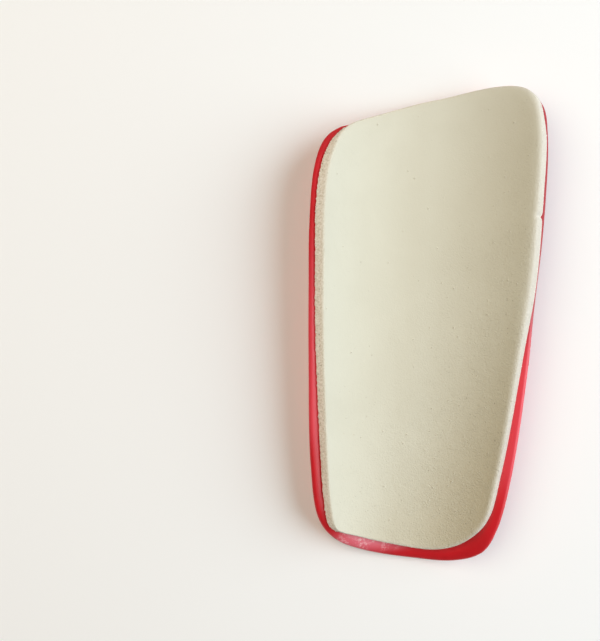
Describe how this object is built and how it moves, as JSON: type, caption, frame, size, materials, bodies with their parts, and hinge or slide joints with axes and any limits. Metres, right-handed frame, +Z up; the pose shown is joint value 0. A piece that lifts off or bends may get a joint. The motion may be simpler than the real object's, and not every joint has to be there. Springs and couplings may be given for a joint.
{
  "type": "soccer shin guard",
  "caption": "Slip-in soccer shin guard: a tapered, curved red plastic shell with a slanted top edge and a cream foam pad glued to its hollow side, worn over the shin inside a sock.",
  "frame": {"origin": "on the flat of the shell's ridge, half-way along, where the guard lies on a surface", "axes": "+Z up out of the hollow side, +Y along the guard to its knee end, +X to the side with the high corner of the slanted top edge"},
  "size_m": [0.0967, 0.2025, 0.0248],
  "materials": {
    "shell_plastic": "smooth moulded polypropylene, softly glossy red",
    "pad_foam": "matt closed-cell EVA foam, cream, die-cut edge"
  },
  "bodies": {
    "root": {"shell": "shell_plastic", "foam_pad": "pad_foam"}
  },
  "joints": []
}
